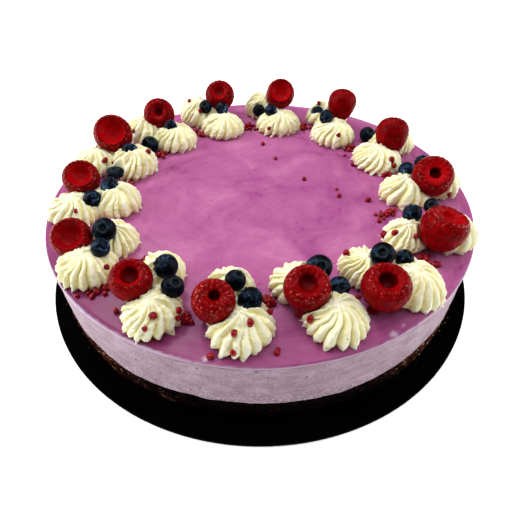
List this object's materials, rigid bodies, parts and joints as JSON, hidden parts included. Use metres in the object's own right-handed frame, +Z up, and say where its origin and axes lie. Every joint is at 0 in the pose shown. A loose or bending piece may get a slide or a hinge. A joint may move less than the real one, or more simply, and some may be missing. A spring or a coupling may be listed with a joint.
{
  "type": "round ube cheesecake on a cake board",
  "caption": "Round ube cheesecake with biscuit base, pale mousse side and purple top, ringed with piped cream, raspberries and blueberries, on a flat black round board.",
  "frame": {"origin": "middle of the cake board's underside; the cake itself stands 6 mm further back, towards +Y", "axes": "+Z up, out of the cake's top; the side towards -Y is the front, with the wider strip of bare board"},
  "size_m": [0.268, 0.268, 0.0782],
  "materials": {
    "board": "flat black laminated card, faint sheen",
    "biscuit": "coarse pressed dark biscuit crumb, matt",
    "mousse": "pale lilac set mousse, knife-smoothed, satin",
    "ube": "purple topping, smeared and marbled, satin gloss",
    "cream": "piped whipped cream, soft sheen",
    "raspberry": "wet red drupelets, glossy",
    "blueberry": "near-black blue skin with a pale bloom"
  },
  "bodies": {
    "root": {"cake_board": "board", "biscuit_base": "biscuit", "mousse_layer": "mousse", "ube_top": "ube", "cream_pair_01": "cream", "cream_pair_02": "cream", "cream_pair_03": "cream", "cream_pair_04": "cream", "cream_pair_05": "cream", "cream_pair_06": "cream", "cream_pair_07": "cream", "cream_pair_08": "cream", "cream_pair_09": "cream", "cream_pair_10": "cream", "cream_pair_11": "cream", "cream_pair_12": "cream", "cream_pair_13": "cream", "cream_pair_14": "cream", "raspberry_01": "raspberry", "raspberry_02": "raspberry", "raspberry_03": "raspberry", "raspberry_04": "raspberry", "raspberry_05": "raspberry", "raspberry_06": "raspberry", "raspberry_07": "raspberry", "raspberry_08": "raspberry", "raspberry_09": "raspberry", "raspberry_10": "raspberry", "raspberry_11": "raspberry", "raspberry_12": "raspberry", "raspberry_13": "raspberry", "raspberry_14": "raspberry", "blueberry_01": "blueberry", "blueberry_02": "blueberry", "blueberry_03": "blueberry", "blueberry_04": "blueberry", "blueberry_05": "blueberry", "blueberry_06": "blueberry", "blueberry_07": "blueberry", "blueberry_08": "blueberry", "blueberry_09": "blueberry", "blueberry_10": "blueberry", "blueberry_11": "blueberry", "blueberry_12": "blueberry", "blueberry_13": "blueberry", "blueberry_14": "blueberry", "blueberry_15": "blueberry", "blueberry_16": "blueberry", "blueberry_17": "blueberry", "blueberry_18": "blueberry", "blueberry_19": "blueberry", "blueberry_20": "blueberry", "blueberry_21": "blueberry", "blueberry_22": "blueberry", "blueberry_23": "blueberry", "blueberry_24": "blueberry", "blueberry_25": "blueberry", "blueberry_26": "blueberry", "blueberry_27": "blueberry"}
  },
  "joints": []
}
